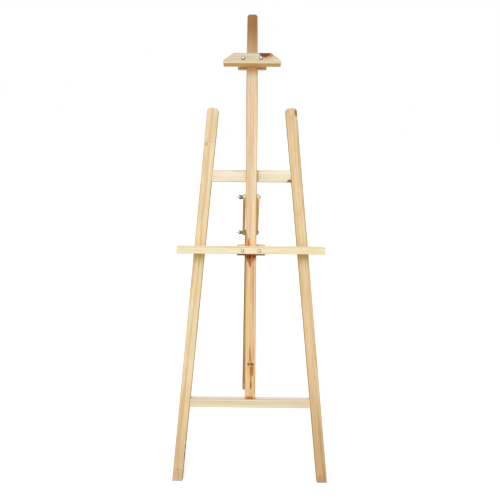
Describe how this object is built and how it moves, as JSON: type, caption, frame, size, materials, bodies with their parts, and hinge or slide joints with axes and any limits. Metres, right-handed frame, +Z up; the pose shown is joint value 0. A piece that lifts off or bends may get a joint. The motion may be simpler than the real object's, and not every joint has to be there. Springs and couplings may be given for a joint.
{
  "type": "easel",
  "caption": "Wooden A-frame studio easel with a central mast, a sliding canvas ledge, a sliding top clamp and a rear leg that folds on link plates.",
  "frame": {"origin": "on the floor, at the middle of the footprint of the three feet", "axes": "+Z up, the easel faces -Y, +X to the right of a person who faces the canvas"},
  "size_m": [0.5402, 0.5321, 1.4991],
  "materials": {
    "pine_mast": "planed, unvarnished",
    "pine_legs": "planed, unvarnished",
    "pine_rails": "planed, unvarnished",
    "pine_ledge": "planed, unvarnished",
    "pine_clamp": "planed, unvarnished",
    "pine_links": "planed, unvarnished",
    "zinc_steel": "zinc plated",
    "foot_rubber": "matt"
  },
  "bodies": {
    "frame": {"left_front_leg": "pine_legs", "right_front_leg": "pine_legs", "lower_rail": "pine_rails", "upper_rail": "pine_rails", "mast": "pine_mast", "lower_rail_screws": "zinc_steel", "upper_rail_screws": "zinc_steel", "mast_back_screws": "zinc_steel", "mast_base_screws": "zinc_steel", "left_foot_pad": "foot_rubber", "right_foot_pad": "foot_rubber"},
    "link": {"left_link_plate": "pine_links", "right_link_plate": "pine_links", "link_pivot_bolt": "zinc_steel", "link_pivot_head_washer": "zinc_steel", "link_pivot_nut_washer": "zinc_steel", "leg_pivot_bolt": "zinc_steel", "leg_pivot_head_washer": "zinc_steel", "leg_pivot_nut_washer": "zinc_steel"},
    "prop": {"rear_leg": "pine_legs", "rear_foot_pad": "foot_rubber"},
    "link_nut": {"link_pivot_wing_nut": "zinc_steel"},
    "leg_nut": {"leg_pivot_wing_nut": "zinc_steel"},
    "clamp": {"clamp_jaw": "pine_clamp", "clamp_back_block": "pine_clamp", "clamp_bolts": "zinc_steel", "clamp_washers": "zinc_steel"},
    "clamp_left_nut": {"clamp_left_wing_nut": "zinc_steel"},
    "clamp_right_nut": {"clamp_right_wing_nut": "zinc_steel"},
    "ledge": {"ledge_bar": "pine_ledge", "ledge_back_block": "pine_ledge", "ledge_bolts": "zinc_steel", "ledge_washers": "zinc_steel"},
    "ledge_left_nut": {"ledge_left_wing_nut": "zinc_steel"},
    "ledge_right_nut": {"ledge_right_wing_nut": "zinc_steel"}
  },
  "joints": [
    {"name": "clamp_slide", "type": "slide", "parent": "frame", "child": "clamp", "axis": [0, 0.1492, 0.9888], "range_m": [-0.29, 0.1]},
    {"name": "ledge_slide", "type": "slide", "parent": "frame", "child": "ledge", "axis": [0, 0.1492, 0.9888], "range_m": [-0.4, 0.06]},
    {"name": "link_pivot", "type": "hinge", "parent": "frame", "child": "link", "pos_m": [0, -0.10276, 0.97141], "axis": [0.998, 0.0628, 0], "range_deg": [-15.8, 57]},
    {"name": "leg_pivot", "type": "hinge", "parent": "link", "child": "prop", "pos_m": [-0.00363, -0.04512, 0.84169], "axis": [0.998, 0.0628, 0], "range_deg": [-9.3, 45]},
    {"name": "link_nut_turn", "type": "hinge", "parent": "link", "child": "link_nut", "pos_m": [0, -0.10276, 0.97141], "axis": [-0.998, -0.0628, 0], "range_deg": [0, 450]},
    {"name": "leg_nut_turn", "type": "hinge", "parent": "link", "child": "leg_nut", "pos_m": [-0.00363, -0.04512, 0.84169], "axis": [-0.998, -0.0628, 0], "range_deg": [0, 450]},
    {"name": "clamp_left_nut_turn", "type": "hinge", "parent": "clamp", "child": "clamp_left_nut", "pos_m": [-0.026, -0.01461, 1.36516], "axis": [0, 0.9888, -0.1492], "range_deg": [0, 450]},
    {"name": "clamp_right_nut_turn", "type": "hinge", "parent": "clamp", "child": "clamp_right_nut", "pos_m": [0.026, -0.01461, 1.36516], "axis": [0, 0.9888, -0.1492], "range_deg": [0, 450]},
    {"name": "ledge_left_nut_turn", "type": "hinge", "parent": "ledge", "child": "ledge_left_nut", "pos_m": [-0.026, -0.0993, 0.80402], "axis": [0, 0.9888, -0.1492], "range_deg": [0, 450]},
    {"name": "ledge_right_nut_turn", "type": "hinge", "parent": "ledge", "child": "ledge_right_nut", "pos_m": [0.026, -0.0993, 0.80402], "axis": [0, 0.9888, -0.1492], "range_deg": [0, 450]}
  ]
}
